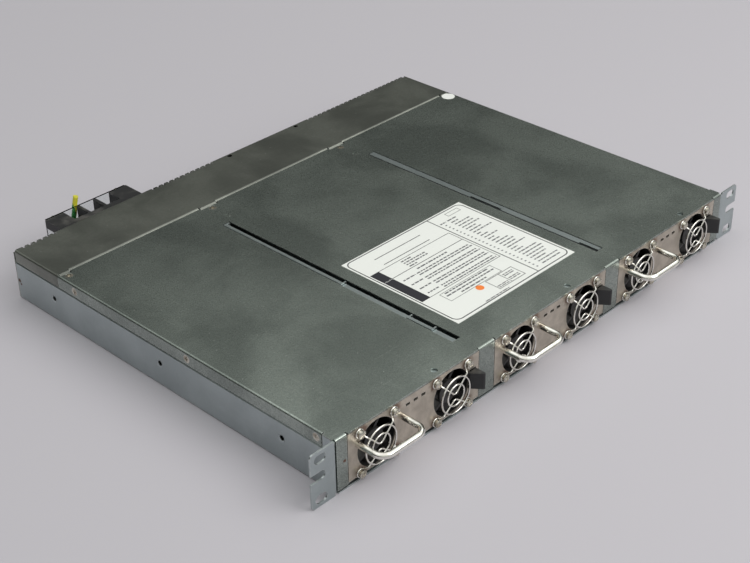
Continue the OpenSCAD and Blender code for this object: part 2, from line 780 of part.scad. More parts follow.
module module_sockets() color(black)
    for (n = [1:3]) translate([module_x(n), 0, bp_z]) difference() {
        block([-socket_w / 2, socket_y, -socket_h / 2], [socket_w / 2, bp_y, socket_h / 2]);
        block([-plug_w / 2 - plug_gap, socket_y - 1, -plug_h / 2 - plug_gap],
            [plug_w / 2 + plug_gap, case_rear + plug_l + 1, plug_h / 2 + plug_gap]);
    }

// ---------- output ----------
module bus_bar(x, z, x0, x1) {
    block([x0, bar_y, z], [x1, bar_y + bar_t, z + bar_h]);
    difference() {
        union() {
            block([x - bar_tab_w / 2, bar_y + bar_t - EPS, bar_z], [x + bar_tab_w / 2, rear_y + bar_tab_l, bar_z + bar_t]);
            block([x - bar_tab_w / 2, bar_y, min(bar_z, z)], [x + bar_tab_w / 2, bar_y + bar_t, z + 1]);
        }
        translate([x, rear_y + bar_tab_l - bar_tab_w / 2 + 2, bar_z - 1]) cylinder(d = bar_hole_d, h = bar_t + 2);
    }
}
module bus_bar_negative() color(copper) bus_bar(bar_negative_x, bar_z, -bay_edge + 12, bar_negative_x + bar_tab_w / 2);
module bus_bar_positive() color(copper) bus_bar(bar_positive_x, bar_z, bar_negative_x + bar_tab_w / 2 + 3, bay_edge - 12);

module signal_connector() color(chrome) {
    translate([signal_x, 0, signal_z]) {
        difference() {
            block([-signal_w / 2, rear_y, -signal_h / 2], [signal_w / 2, rear_y + 1, signal_h / 2]);
            for (s = [-1, 1]) rod_y(s * (signal_w / 2 - 3.2), 0, 3, rear_y - 1, rear_y + 2);
        }
        along_y(rear_y + 1 - EPS, rear_y + 7) signal_shell(0);
        along_y(tray_rear - 10, rear_y + EPS) rect([-signal_w / 2 + 6.5, -signal_h / 2 + 2.5],
            [signal_w / 2 - 6.5, signal_h / 2 - 2.5]);
    }
}

// Section of the connector's sloping shell
module signal_shell(inset) {
    w = signal_w / 2 - 6.7 - inset;
    h = signal_h / 2 - 2.2 - inset;
    polygon([[-w, h], [w, h], [w - 1.4, -h], [1.4 - w, -h]]);
}

// ---------- input ----------
module terminal_block() color(black) {
    difference() {
        translate([-block_x, 0, 0]) union() {
            block([-block_w / 2 + 6, rear_y, block_top - block_h], [block_w / 2, rear_y + block_base, block_top]);
            block([-block_w / 2, rear_y, block_top - 7], [-block_w / 2 + block_end_w, block_end_y, block_top]);
            block([-block_w / 2 + 6, rear_y, block_top - block_h],
                [-block_w / 2 + block_end_w, block_end_y, block_top - 7 + EPS]);
            block([block_w / 2 - block_end_w, rear_y, block_top - block_h], [block_w / 2, block_end_y, block_top]);
            for (s = [-1, 1]) translate([s * cell_pitch / 2, 0, 0])
                block([-barrier_t / 2, rear_y, block_top - block_h], [barrier_t / 2, block_end_y, block_top]);
        }
        // screw holes of the clear cover
        for (s = [-1, 1]) rod_y(-block_x + s * (block_w - block_end_w) / 2, block_top - 3.5, 3.2,
            block_end_y - 8, block_end_y + 1);
        for (i = [-1:1]) rod_y(-block_x + i * cell_pitch, terminal_z, 4.4,
            rear_y + 2, rear_y + block_base + 1);
    }
}

module terminal_cover() color("#d8dcdc", 0.4) difference() {
    block([-block_x - block_w / 2 + 1, block_end_y, clear_z], [-block_x + block_w / 2 - 1, block_end_y + clear_t, block_top]);
    for (s = [-1, 1]) rod_y(-block_x + s * (block_w - block_end_w) / 2, block_top - 3.5, 3.4,
        block_end_y - 1, block_end_y + clear_t + 1);
}

module terminal_screws() color(chrome) {
    for (i = [-1:1]) translate([-block_x + i * cell_pitch, rear_y + block_base, terminal_z]) rotate([-90, 0, 0])
        difference() {
            union() {
                translate([0, 0, -8]) cylinder(d = 4.2, h = 8 + EPS);
                translate([-5, -5, 0]) cube([10, 13.6, clamp_t]);
                translate([0, 0, clamp_t - EPS]) cylinder(d = 8, h = 3);
            }
            translate([0, 0, clamp_t + 3]) cross_recess(5);
        }
    for (s = [-1, 1]) translate([-block_x + s * (block_w - block_end_w) / 2, block_end_y + clear_t, block_top - 3.5])
        rotate([-90, 0, 0]) difference() {
            union() {
                translate([0, 0, -7]) cylinder(d = 3, h = 7 + EPS);
                cylinder(d = 5.6, h = 1.8);
            }
            translate([0, 0, 1.8]) cross_recess(3.4);
        }
}

// Tube swept along points: a ring of points at each, in the plane across it
function unit(v) = v / norm(v);
function heading(p, i) = unit(p[min(i + 1, len(p) - 1)] - p[max(i - 1, 0)]);
function ring(p, i, d, n) =
    let (t = heading(p, i), u = unit(cross(t, [1, 0, 0])), v = cross(t, u))
    [for (k = [0:n - 1]) p[i] + d / 2 * (cos(k * 360 / n) * u + sin(k * 360 / n) * v)];
module tube(p, d, n) {
    m = len(p);
    polyhedron(
        points = [for (i = [0:m - 1]) each ring(p, i, d, n)],
        faces = concat(
            [[for (k = [n - 1:-1:0]) k]], [[for (k = [0:n - 1]) (m - 1) * n + k]],
            [for (i = [0:m - 2]) for (k = [0:n - 1])
                [i * n + k, i * n + (k + 1) % n, (i + 1) * n + (k + 1) % n, (i + 1) * n + k]]));
}
module earth_wire() color("#6f9a2e") tube(EARTH_POINTS, earth_d, EARTH_SIDES);

// ---------- labels ----------
module rating_label() color(paper)
    block([-label_w / 2, front_y + label_y, top_z], [label_w / 2, front_y + label_y + label_d, top_z + label_t]);
module round_sticker() color(paper)
    translate([half_w - flat_r - sticker_d / 2, cover_end - sticker_d / 2, top_z]) cylinder(d = sticker_d, h = label_t);

// ---------- power module ----------
function fan_x(side) = side < 0 ? -fan_left_x : fan_right_x;

module module_case() color(zinc) {
    w = module_w / 2;
    difference() {
        union() {
            block([-w, fan_y, case_z], [w, case_rear, case_in]);
            for (s = [-1, 1]) block([s * w - (s + 1) / 2 * case_t, fan_y, case_z],
                [s * w + (1 - s) / 2 * case_t, case_rear, lid_z]);
            block([-w, case_rear - case_t, case_z], [w, case_rear, lid_z]);
            // pivot of the latch, standing on the floor
            translate([latch_mid, pivot_y, case_in - EPS]) {
                cylinder(d = latch_pin_d, h = latch_z + latch_h / 2 - case_in + 1);
                cylinder(r = latch_hub_r, h = latch_z - latch_h / 2 - case_in - 0.1);
            }
        }
        // passage of the plug, air vents beside it
        block([-plug_w / 2 - 1, case_rear - 2, bp_z - plug_h / 2 - 1], [plug_w / 2 + 1, case_rear + 1, bp_z + plug_h / 2 + 1]);
        for (s = [-1, 1]) for (i = [0:5]) translate([s * (plug_w / 2 + 6 + i * 4), case_rear, bp_z])
            cube([2.4, 4 * case_t, module_h - 14], center = true);
        // window for the latch nose
        block([w - 2, nose_y - 3, latch_z - 4], [w + 2, nose_y + 3, latch_z + 4]);
    }
}

module module_cover() color(zinc) {
    w = module_w / 2;
    block([-w, fan_y, lid_z], [w, case_rear, case_top]);
    for (s = [-1, 1]) block([s * (w - case_t - sheet_gap) - (s + 1) / 2 * case_t, fan_y + fan_depth + 1, lid_z - 6],
        [s * (w - case_t - sheet_gap) + (1 - s) / 2 * case_t, case_rear - case_t - 0.5, lid_z + EPS]);
}

module at_fan_screws()
    for (s = [-1, 1]) for (i = [-1, 1]) for (j = [-1, 1])
        translate([fan_x(s) + i * fan_hole_pitch / 2, front_y, fan_z + j * fan_hole_pitch / 2])
            rotate([90, 0, 0]) children();

module module_panel() color(beige) {
    w = module_w / 2;
    difference() {
        union() {
            block([-w, front_y, panel_z], [w, front_y + panel_t, case_top]);
            // side returns inside the case walls
            for (s = [-1, 1]) block(
                [s * (w - case_t - sheet_gap) - (s + 1) / 2 * case_t, fan_y - EPS, panel_z + 6],
                [s * (w - case_t - sheet_gap) + (1 - s) / 2 * case_t, fan_y + return_l, lid_z - 7]);
        }
        for (s = [-1, 1]) rod_y(fan_x(s), fan_z, fan_bore_d, front_y - 1, fan_y + 1);
        at_fan_screws() cylinder(d = screw_d + 0.4, h = 3 * panel_t, center = true);
        for (i = [-1:1]) translate([i * window_pitch, front_y, window_z])
            cube([window_w, 3 * panel_t, window_h], center = true);
        for (s = [-1, 1]) rod_y(-fan_left_x + handle_shift + s * handle_w / 2, handle_z, rod_d - 0.9,
            front_y - 1, fan_y + 1);
        // passage of the latch
        block([fan_right_x + fan_size / 2, front_y - 1, latch_z - latch_h / 2 - 0.6],
            [latch_x + 0.6, fan_y + 1, latch_z + latch_h / 2 + 0.6]);
    }
}

module module_handle() color(chrome) {
    x = handle_w / 2;
    r = handle_bend_r;
    bar = front_y - handle_reach;
    translate([-fan_left_x + handle_shift, 0, handle_z]) {
        for (s = [-1, 1]) {
            rod_y(s * x, 0, rod_d, bar + r, front_y);
            rod_y(s * x, 0, rod_d - 1, front_y - EPS, front_y + panel_t - 0.05);
            translate([s * (x - r), bar + r, 0]) rotate(s < 0 ? 180 : 270)
                rotate_extrude(angle = 90) translate([r, 0]) circle(d = rod_d);
        }
        translate([-x + r, bar, 0]) rotate([0, 90, 0]) cylinder(d = rod_d, h = 2 * (x - r));
    }
}

// Plan of the latch: thumb piece, arm and hub
module latch_plan() {
    x = latch_x;
    f = front_y;
    difference() {
        union() {
            polygon([
                [x, pivot_y], [x - latch_t, pivot_y], [x - latch_t, f - 0.6],
                [x - latch_thumb_w, f - 0.6], [x - latch_thumb_w + 0.4, f - 1.8],
                [x - 2.2, f - latch_reach + 0.6], [x - 1, f - latch_reach], [x, f - latch_reach + 1]]);
            translate([latch_mid, pivot_y]) circle(latch_hub_r);
            // nose
            polygon([[x - 1, nose_y + 2.4], [x - 1, nose_y - 2.4], [x, nose_y - 2.4],
                [module_w / 2 + nose_reach, nose_y + 1.4], [module_w / 2 + nose_reach, nose_y + 2.4]]);
        }
        translate([latch_mid, pivot_y]) circle(latch_bore_r);
    }
}

module module_latch() color(black) translate([0, 0, latch_z - latch_h / 2]) difference() {
    linear_extrude(latch_h) latch_plan();
    // the nose is lower than the arm
    for (z = [-1, latch_h / 2 + 3.2]) translate([latch_x, nose_y - 4, z]) cube([9, 9, latch_h / 2 - 2.2]);
}

// Fan frame: square body, air passage, motor base on three rear struts
module fan_frame(side) color(black) {
    h = fan_size / 2;
    base = fan_y + fan_depth - 3;
    translate([fan_x(side), 0, fan_z]) {
        difference() {
            union() {
                along_y(fan_y, fan_y + 3) fan_outline();
                along_y(fan_y + 3 - EPS, base + EPS) circle(d = fan_bore_d + 2);
                along_y(base, fan_y + fan_depth) fan_outline();
            }
            rod_y(0, 0, fan_bore_d, fan_y - 1, fan_y + fan_depth + 1);
            for (i = [-1, 1]) for (j = [-1, 1])
                rod_y(i * fan_hole_pitch / 2, j * fan_hole_pitch / 2, screw_d + 0.4, fan_y - 1, fan_y + fan_depth + 1);
        }
        difference() {
            union() {
                rod_y(0, 0, hub_d - 1, base, fan_y + fan_depth);
                rod_y(0, 0, shaft_d + 4, fan_y + 4, base + EPS);
                for (a = [90, 210, 330]) along_y(base, fan_y + fan_depth)
                    rotate(a) translate([0, -1.2]) square([fan_bore_d / 2 + 0.4, 2.4]);
            }
            rod_y(0, 0, shaft_d + 2 * shaft_gap, fan_y + 3, fan_y + fan_depth - 1);
        }
    }
}
module fan_outline() {
    r = 2;
    h = fan_size / 2;
    union() {
        square([2 * h, 2 * (h - r)], center = true);
        square([2 * (h - r), 2 * h], center = true);
        for (i = [-1, 1]) for (j = [-1, 1]) translate([i * (h - r), j * (h - r)]) circle(r);
    }
}

// Section of a blade along the shaft: a bowed strip that rises from 0 to rise
module blade_section(run, rise, r) {
    chord = norm([run, rise]);
    reach = sqrt(r * r - chord * chord / 4);
    intersection() {
        translate([-reach * rise / chord, rise / 2 + reach * run / chord]) difference() {
            circle(r + blade_t / 2);
            circle(r - blade_t / 2);
        }
        rect([-run / 2 - blade_t, 0], [run / 2 + blade_t, rise]);
    }
}

// Rotor: cup-shaped hub with bowed, pitched blades and its shaft
module fan_rotor(side) color("#26262a") {
    front = fan_y + 1.5;
    translate([fan_x(side), front, fan_z]) rotate([-90, 0, 0]) {
        difference() {
            cylinder(d = hub_d, h = hub_depth);
            translate([0, 0, 1.2]) cylinder(d = hub_d - 2.4, h = hub_depth);
        }
        cylinder(d = shaft_d, h = fan_depth - 4);
        intersection() {
            difference() {
                cylinder(d = rotor_d, h = hub_depth);
                translate([0, 0, -1]) cylinder(d = hub_d - 1.2, h = hub_depth + 2);
            }
            for (k = [0:blade_count - 1]) rotate(k * 360 / blade_count)
                translate([0, 0, 1]) rotate([90, 0, 90])
                    linear_extrude(rotor_d / 2 + 1) blade_section(blade_run, hub_depth - 2, blade_bow_r);
        }
    }
}

// A wire is a little thicker where it is bent
eye_wire_d = wire_d + 0.1;
knee_d = wire_d + 0.16;

// Wire guard: two rings, and two bent wires that end in eyes under the screws
module guard(side) color(chrome) {
    y = front_y - ring_stand;
    translate([fan_x(side), 0, fan_z]) {
        translate([0, y, 0]) rotate([90, 0, 0]) for (d = [ring_outer_d, ring_inner_d])
            rotate_extrude() translate([d / 2, 0]) circle(d = wire_d);
        guard_wire(1, upper_turn_z);
        guard_wire(-1, -lower_turn_z);
    }
}

// One bent wire. way is 1 for the upper wire, which turns at height turn_z
module guard_wire(way, turn_z) {
    p = fan_hole_pitch / 2;
    y = front_y - ring_stand + wire_d * 0.6;
    eye_y = front_y - eye_wire_d / 2;
    eye_r = (eye_hole_d + eye_wire_d) / 2;
    // a leg leaves the turn as a tangent and points at the middle of its eye
    turn_mid = way * turn_z + turn_r;
    to_eye = [p, p - turn_mid];
    a = atan2(to_eye[1], to_eye[0]) + asin(turn_r / norm(to_eye));
    leg = sqrt(to_eye * to_eye - turn_r * turn_r) - eye_r - guard_slant;
    along = [cos(a), 0, sin(a)];
    knee = [p, y, p] - (eye_r + guard_slant) * along;
    foot = [p, eye_y, p] - eye_r * along;
    mirror([0, 0, way < 0 ? 1 : 0]) {
        translate([0, y, turn_mid]) rotate([90, 0, 0]) {
            rotate(-90 - a) rotate_extrude(angle = 2 * a) translate([turn_r, 0]) circle(d = wire_d);
            for (s = [0, 1]) mirror([s, 0, 0]) rotate(a) translate([0, -turn_r, 0])
                rotate([90, 0, 90]) cylinder(d = wire_d, h = leg);
        }
        for (s = [0, 1]) mirror([s, 0, 0]) {
            stick(knee, foot);
            translate(knee) sphere(d = knee_d);
            translate([p, eye_y, p]) rotate([90, 0, 0])
                rotate_extrude() translate([eye_r, 0]) circle(d = eye_wire_d);
        }
    }
}

// A straight round wire between two points
module stick(a, b) {
    v = b - a;
    l = norm(v);
    translate(a) rotate([0, acos(v[2] / l), atan2(v[1], v[0])]) cylinder(d = wire_d, h = l);
}

// Pan head screws with a spring washer, standing on the guard's eyes
module fan_screws() color(chrome)
    at_fan_screws() translate([0, 0, eye_wire_d]) difference() {
        union() {
            translate([0, 0, -eye_wire_d - panel_t - 6])
                cylinder(d = screw_d, h = eye_wire_d + panel_t + 6 + EPS);
            cylinder(d = washer_d, h = washer_t);
            translate([0, 0, washer_t - EPS]) cylinder(d = head_d, h = head_h * 0.45);
            translate([0, 0, washer_t + head_h * 0.45 - EPS]) intersection() {
                translate([0, 0, -head_d * 0.62]) sphere(r = head_d * 0.78, $fn = 48);
                cylinder(d = head_d, h = head_h);
            }
        }
        translate([0, 0, washer_t + head_h]) cross_recess(3.6);
    }

// Board with the rear plug, indicators, transformer, capacitors and heat sinks
module module_board() color(board_green) {
    z = case_in + 3;
    y0 = fan_y + fan_depth + 4;
    y1 = case_rear - 3;
    block([-56, y0, z], [56, y1, z + board_t]);
    for (x = [-48, 48]) for (y = [y0 + 8, y1 - 8]) translate([x, y, case_in]) cylinder(d = 5, h = 3 + EPS);
    block([-plug_w / 2, y1 - 12, bp_z - plug_h / 2], [plug_w / 2, case_rear + plug_l, bp_z + plug_h / 2]);
    block([-plug_w / 2, y1 - 12, z], [plug_w / 2, y1 - 2, bp_z]);
    // heat sinks with fins along the air flow
    for (x = [-44, 30]) {
        block([x, y0 + 60, z + board_t - EPS], [x + 2.5, y0 + 200, z + 28]);
        for (i = [1:3]) block([x, y0 + 60, z + i * 7], [x + 14, y0 + 200, z + i * 7 + 1.5]);
    }
    // transformer and choke
    block([-14, y0 + 96, z + board_t - EPS], [20, y0 + 134, z + 26]);
    for (y = [y0 + 42, y0 + 165]) translate([2, y, z + board_t - EPS]) cylinder(d = 30, h = 14);
    // storage capacitors lying side by side
    for (x = [-38, 12]) translate([x, y0 + 6, z + board_t + 11]) rotate([-90, 0, 0]) cylinder(d = 22.1, h = 14);
}

tray();
front_cover();
rear_cover();
divider_left();
divider_right();
side_guide_left();
side_guide_right();
backplane();
backplane_posts();
module_sockets();
bus_bar_negative();
bus_bar_positive();
terminal_block();
terminal_cover();
terminal_screws();
earth_wire();
signal_connector();
cover_screws();
rating_label();
round_sticker();
for (n = [1:3]) translate([module_x(n), 0, 0]) {
    module_case();
    module_cover();
    module_panel();
    module_handle();
    module_latch();
    fan_frame(-1);
    fan_frame(1);
    fan_rotor(-1);
    fan_rotor(1);
    guard(-1);
    guard(1);
    fan_screws();
    module_board();
}
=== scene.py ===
import bpy
import json
import math
import random
from mathutils import Matrix, Vector


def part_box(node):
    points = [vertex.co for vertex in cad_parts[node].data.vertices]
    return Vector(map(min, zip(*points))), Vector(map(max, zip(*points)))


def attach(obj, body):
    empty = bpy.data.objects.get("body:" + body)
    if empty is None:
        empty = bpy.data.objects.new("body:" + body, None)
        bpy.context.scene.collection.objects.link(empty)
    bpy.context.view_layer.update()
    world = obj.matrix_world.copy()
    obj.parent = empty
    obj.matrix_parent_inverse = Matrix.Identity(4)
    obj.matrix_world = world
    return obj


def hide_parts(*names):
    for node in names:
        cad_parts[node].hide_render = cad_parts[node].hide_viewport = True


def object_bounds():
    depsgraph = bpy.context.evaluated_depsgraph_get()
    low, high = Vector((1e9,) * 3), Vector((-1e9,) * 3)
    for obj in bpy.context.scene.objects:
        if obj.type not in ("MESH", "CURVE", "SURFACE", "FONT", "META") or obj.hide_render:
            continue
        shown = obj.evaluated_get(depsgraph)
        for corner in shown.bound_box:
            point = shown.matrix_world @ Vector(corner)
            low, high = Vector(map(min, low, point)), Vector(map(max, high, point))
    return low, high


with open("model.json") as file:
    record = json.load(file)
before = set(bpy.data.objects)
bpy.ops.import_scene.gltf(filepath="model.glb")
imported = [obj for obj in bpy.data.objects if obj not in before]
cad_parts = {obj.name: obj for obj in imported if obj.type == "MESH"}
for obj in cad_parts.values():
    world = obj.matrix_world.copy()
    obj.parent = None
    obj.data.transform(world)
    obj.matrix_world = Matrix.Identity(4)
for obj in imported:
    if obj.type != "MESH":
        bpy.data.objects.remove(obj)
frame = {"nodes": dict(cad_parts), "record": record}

MM = 0.001
cad_box = [list(v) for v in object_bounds()]
nodes = frame["nodes"]


# ---------- camera ----------
CAMERA_PLACE = (-0.7229, -0.5356, 0.59405)
CAMERA_RIGHT = (0.694038, -0.719729, -0.017347)
CAMERA_DOWN = (-0.389783, -0.355394, -0.849567)
CAMERA_AHEAD = (0.605293, 0.596394, -0.527195)
LENS_MM, SENSOR_MM = 71.0, 36.0


def set_up_camera():
    camera = bpy.data.objects.new("camera", bpy.data.cameras.new("camera"))
    bpy.context.scene.collection.objects.link(camera)
    camera.data.lens = LENS_MM
    camera.data.sensor_width = SENSOR_MM
    camera.data.clip_start, camera.data.clip_end = 0.05, 20.0
    axes = (Vector(CAMERA_RIGHT), -Vector(CAMERA_DOWN), -Vector(CAMERA_AHEAD))
    turn = Matrix(axes).transposed().to_4x4()
    camera.matrix_world = Matrix.Translation(CAMERA_PLACE) @ turn
    bpy.context.scene.camera = camera


set_up_camera()


# ---------- places of repeated features ----------
def middle(node):
    low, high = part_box(node)
    return [(a + b) / 2 for a, b in zip(low, high)]


def fan_screw_offset():
    """How far a fan's screws are from its middle, across and in height."""
    screw_head_r = 0.0031
    low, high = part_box("module_2_fan_screws")
    return (high[2] - low[2]) / 2 - screw_head_r


BAY_PITCH = middle("module_3_case")[0] - middle("module_2_case")[0]
FAN_X = middle("module_2_fan_right")[0]
FAN_Z = middle("module_2_fan_right")[2]
SCREW_OFFSET = fan_screw_offset()


# ---------- shader building ----------
class Shader:
    """The node tree of a material, of an effect or of the room, built node by node."""

    def __init__(self, tree):
        self.tree = tree

    def node(self, kind, values=None, **settings):
        n = self.tree.nodes.new(kind)
        for key, value in settings.items():
            setattr(n, key, value)
        for key, value in (values or {}).items():
            self.feed(n.inputs[key], value)
        return n

    def feed(self, socket, value):
        if isinstance(value, bpy.types.NodeSocket):
            self.tree.links.new(value, socket)
        elif isinstance(value, (tuple, list)) and len(value) == 3 and socket.type == "RGBA":
            socket.default_value = (*value, 1)
        else:
            socket.default_value = value

    def math(self, operation, a, b=0.0, clamp=False):
        return self.node("ShaderNodeMath", {0: a, 1: b}, operation=operation, use_clamp=clamp).outputs[0]

    def plus(self, a, b, clamp=False):
        return self.math("ADD", a, b, clamp)

    def minus(self, a, b):
        return self.math("SUBTRACT", a, b)

    def times(self, a, b):
        return self.math("MULTIPLY", a, b)

    def over(self, a, b):
        return self.math("DIVIDE", a, b)

    def larger(self, a, b):
        """The larger of two values, where the first may be missing."""
        return b if a is None else self.math("MAXIMUM", a, b)

    def size_of(self, a):
        return self.math("ABSOLUTE", a)

    def blend(self, amount, a, b):
        return self.node("ShaderNodeMix", {0: amount, 6: a, 7: b}, data_type="RGBA").outputs[2]

    def between(self, value, low, high, a=0.0, b=1.0):
        """A smooth step from a at low to b at high."""
        n = self.node("ShaderNodeMapRange", {0: value, 1: low, 2: high, 3: a, 4: b},
                      interpolation_type="SMOOTHSTEP")
        return n.outputs[0]

    def noise(self, where, scale, detail=2.0, rough=0.5, distortion=0.0):
        n = self.node("ShaderNodeTexNoise", {"Vector": where, "Scale": scale, "Detail": detail,
                                             "Roughness": rough, "Distortion": distortion})
        return n.outputs["Fac"]

    def ragged(self, where, scale, detail, rough, reach):
        """Noise that swings evenly to both sides of 0, to fray an outline."""
        return self.times(self.minus(self.noise(where, scale, detail, rough), 0.5), reach)

    def place(self):
        return self.node("ShaderNodeTexCoord").outputs["Object"]

    def normal(self):
        return self.node("ShaderNodeNewGeometry").outputs["Normal"]

    def split(self, where):
        return self.node("ShaderNodeSeparateXYZ", {0: where}).outputs

    def bump(self, height, strength, distance):
        n = self.node("ShaderNodeBump", {"Height": height, "Strength": strength, "Distance": distance})
        return n.outputs[0]

    def effect(self, group, **values):
        return self.node("ShaderNodeGroup", values, node_tree=group).outputs[0]


# ---------- shared effects ----------
VECTOR, NUMBER = "NodeSocketVector", "NodeSocketFloat"


def new_effect(name, output, **inputs):
    """A node group; an input whose value is None is a place."""
    group = bpy.data.node_groups.new(name, "ShaderNodeTree")
    for label, value in inputs.items():
        kind = VECTOR if value is None else NUMBER
        socket = group.interface.new_socket(label, in_out="INPUT", socket_type=kind)
        if value is not None:
            socket.default_value = value
    group.interface.new_socket(output, in_out="OUTPUT", socket_type=NUMBER)
    sh = Shader(group)
    given = sh.node("NodeGroupInput").outputs
    result = sh.node("NodeGroupOutput").inputs[output]
    return group, sh, given, result


def sand_grain_effect():
    group, sh, given, result = new_effect("sand_grain", "Grain", Place=None, Size=0.0006, Contrast=0.5)
    scale = sh.over(1.0, given["Size"])
    fine = sh.noise(given["Place"], scale, 3.0, 0.7)
    coarse = sh.noise(given["Place"], sh.times(scale, 0.3), 2.0, 0.5)
    both = sh.plus(sh.times(fine, 0.7), sh.times(coarse, 0.3))
    centred = sh.times(sh.minus(both, 0.5), given["Contrast"])
    sh.feed(result, sh.plus(centred, 0.5, clamp=True))
    return group


def cloud_effect():
    group, sh, given, result = new_effect("patchy_cloud", "Cloud", Place=None, Size=0.05, Low=0.4, High=0.6)
    n = sh.noise(given["Place"], sh.over(1.0, given["Size"]), 4.0, 0.55, 0.3)
    sh.feed(result, sh.between(n, given["Low"], given["High"]))
    return group


def scratch_effect():
    """Fine scratches that run in three directions."""
    group, sh, given, result = new_effect("fine_scratches", "Scratch", Place=None, Amount=0.5)
    marks = None
    for turn, scale in ((0.4, (25, 900, 25)), (1.9, (700, 18, 18)), (2.7, (20, 1100, 20))):
        along = sh.node("ShaderNodeMapping", {"Vector": given["Place"], "Rotation": (0, 0, turn),
                                              "Scale": scale}).outputs[0]
        marks = sh.larger(marks, sh.between(sh.noise(along, 1.0, 2.0, 0.6), 0.7, 0.76))
    sh.feed(result, sh.times(marks, given["Amount"]))
    return group


def edge_highlight_effect():
    """Painted highlight along the edges, broken by gaps."""
    group, sh, given, result = new_effect("painted_edge_highlight", "Edge", Width=0.0006, Place=None)
    rounded = sh.node("ShaderNodeBevel", {"Radius": given["Width"]}, samples=4).outputs[0]
    same = sh.node("ShaderNodeVectorMath", {0: rounded, 1: sh.normal()}, operation="DOT_PRODUCT")
    edge = sh.between(same.outputs["Value"], 0.995, 0.9)
    broken = sh.between(sh.noise(given["Place"], 260.0, 3.0, 0.6), 0.36, 0.56)
    sh.feed(result, sh.times(edge, broken))
    return group


def spot_effect():
    """A ragged patch of rust round a place."""
    group, sh, given, result = new_effect("ragged_spot", "Spot", Place=None, Centre=None, Radius=0.002)
    apart = sh.node("ShaderNodeVectorMath", {0: given["Place"], 1: given["Centre"]}, operation="DISTANCE")
    share = sh.over(apart.outputs["Value"], given["Radius"])
    frayed = sh.plus(share, sh.ragged(given["Place"], 900.0, 3.0, 0.5, 1.6))
    sh.feed(result, sh.between(frayed, 1.15, 0.35))
    return group


def speck_effect():
    """Sparse small specks of dust."""
    group, sh, given, result = new_effect("dust_specks", "Speck", Place=None, Size=0.002, Amount=1.0)
    cells = sh.node("ShaderNodeTexVoronoi", {"Vector": given["Place"], "Scale": sh.over(1.0, given["Size"])})
    chosen = sh.math("GREATER_THAN", sh.split(cells.outputs["Color"])[0], 0.94)
    dot = sh.times(sh.between(cells.outputs["Distance"], 0.16, 0.06), chosen)
    sh.feed(result, sh.times(dot, given["Amount"]))
    return group


def screw_grime_effect():
    """Grime round the fan screws of every module, found by folding the place."""
    group, sh, given, result = new_effect("screw_grime", "Grime", Place=None, Reach=0.006)
    x, _, z = sh.split(given["Place"])[0:3]
    bay_x = sh.node("ShaderNodeMath", {0: x, 1: BAY_PITCH / 2, 2: -BAY_PITCH / 2}, operation="WRAP").outputs[0]
    across = sh.minus(sh.size_of(sh.minus(sh.size_of(bay_x), FAN_X)), SCREW_OFFSET)
    up = sh.minus(sh.size_of(sh.minus(z, FAN_Z)), SCREW_OFFSET)
    apart = sh.math("SQRT", sh.plus(sh.times(across, across), sh.times(up, up)))
    frayed = sh.plus(sh.over(apart, given["Reach"]), sh.ragged(given["Place"], 420.0, 4.0, 0.6, 0.9))
    sh.feed(result, sh.between(frayed, 1.0, 0.35))
    return group


SAND = sand_grain_effect()
CLOUD = cloud_effect()
SCRATCH = scratch_effect()
EDGE_HIGHLIGHT = edge_highlight_effect()
SPOT = spot_effect()
SPECK = speck_effect()
GRIME = screw_grime_effect()


# ---------- finishes ----------
RUST_COLOUR = (0.09, 0.03, 0.014)
DUST_COLOUR = (0.75, 0.75, 0.72)
PLASTIC_DUST_COLOUR = (0.2, 0.19, 0.17)
# pale colour of the painted highlight on edges
EDGE_HIGHLIGHT_COLOUR = (0.8, 0.82, 0.78)
TARNISH_COLOUR = (0.3, 0.26, 0.2)


def new_material(name, **plain):
    m = bpy.data.materials.new(name)
    m.use_nodes = True
    m.node_tree.nodes.clear()
    sh = Shader(m.node_tree)
    body = sh.node("ShaderNodeBsdfPrincipled", {k.replace("_", " "): v for k, v in plain.items()})
    sh.node("ShaderNodeOutputMaterial", {"Surface": body.outputs[0]})
    return m, sh, body.inputs


def plated_sheet(name, light, dark, rough, metallic, grain, contrast, stain, stain_size, edge,
                 specks=0.0, rust=(), grime=0.0):
    """Plated sheet: sandy grain, soft clouds, fine scratches, painted edge highlights, dust and rust."""
    m, sh, body = new_material(name, Metallic=metallic)
    at = sh.place()
    sand = sh.effect(SAND, Place=at, Size=grain, Contrast=contrast)
    cloud = sh.effect(CLOUD, Place=at, Size=stain_size, Low=0.35, High=0.65)
    scratch = sh.effect(SCRATCH, Place=at, Amount=0.5)
    colour = sh.blend(sand, dark, light)
    colour = sh.blend(sh.times(cloud, stain), colour, [c * 0.62 for c in dark])
    colour = sh.blend(sh.times(scratch, 0.35), colour, [min(1, c * 1.5) for c in light])
    roughness = sh.between(sand, 0.0, 1.0, rough[1], rough[0])
    if specks:
        dust = sh.effect(SPECK, Place=at, Size=0.0035, Amount=specks)
        colour = sh.blend(dust, colour, DUST_COLOUR)
    # painted highlight: bevelled edges are blended towards a pale colour
    edge_highlight_mask = sh.effect(EDGE_HIGHLIGHT, Width=0.0007, Place=at)
    colour = sh.blend(sh.times(edge_highlight_mask, edge), colour, EDGE_HIGHLIGHT_COLOUR)
    dull = None
    for centre, radius in rust:
        dull = sh.larger(dull, sh.effect(SPOT, Place=at, Centre=centre, Radius=radius))
    if grime:
        dull = sh.larger(dull, sh.times(sh.effect(GRIME, Place=at, Reach=0.0075), grime))
    if dull is not None:
        colour = sh.blend(dull, colour, RUST_COLOUR)
        roughness = sh.plus(roughness, sh.times(dull, 0.3))
        sh.feed(body["Metallic"], sh.minus(metallic, sh.times(dull, 0.75)))
    sh.feed(body["Base Color"], colour)
    sh.feed(body["Roughness"], roughness)
    sh.feed(body["Normal"], sh.bump(sand, 0.12, 0.0002))
    return m


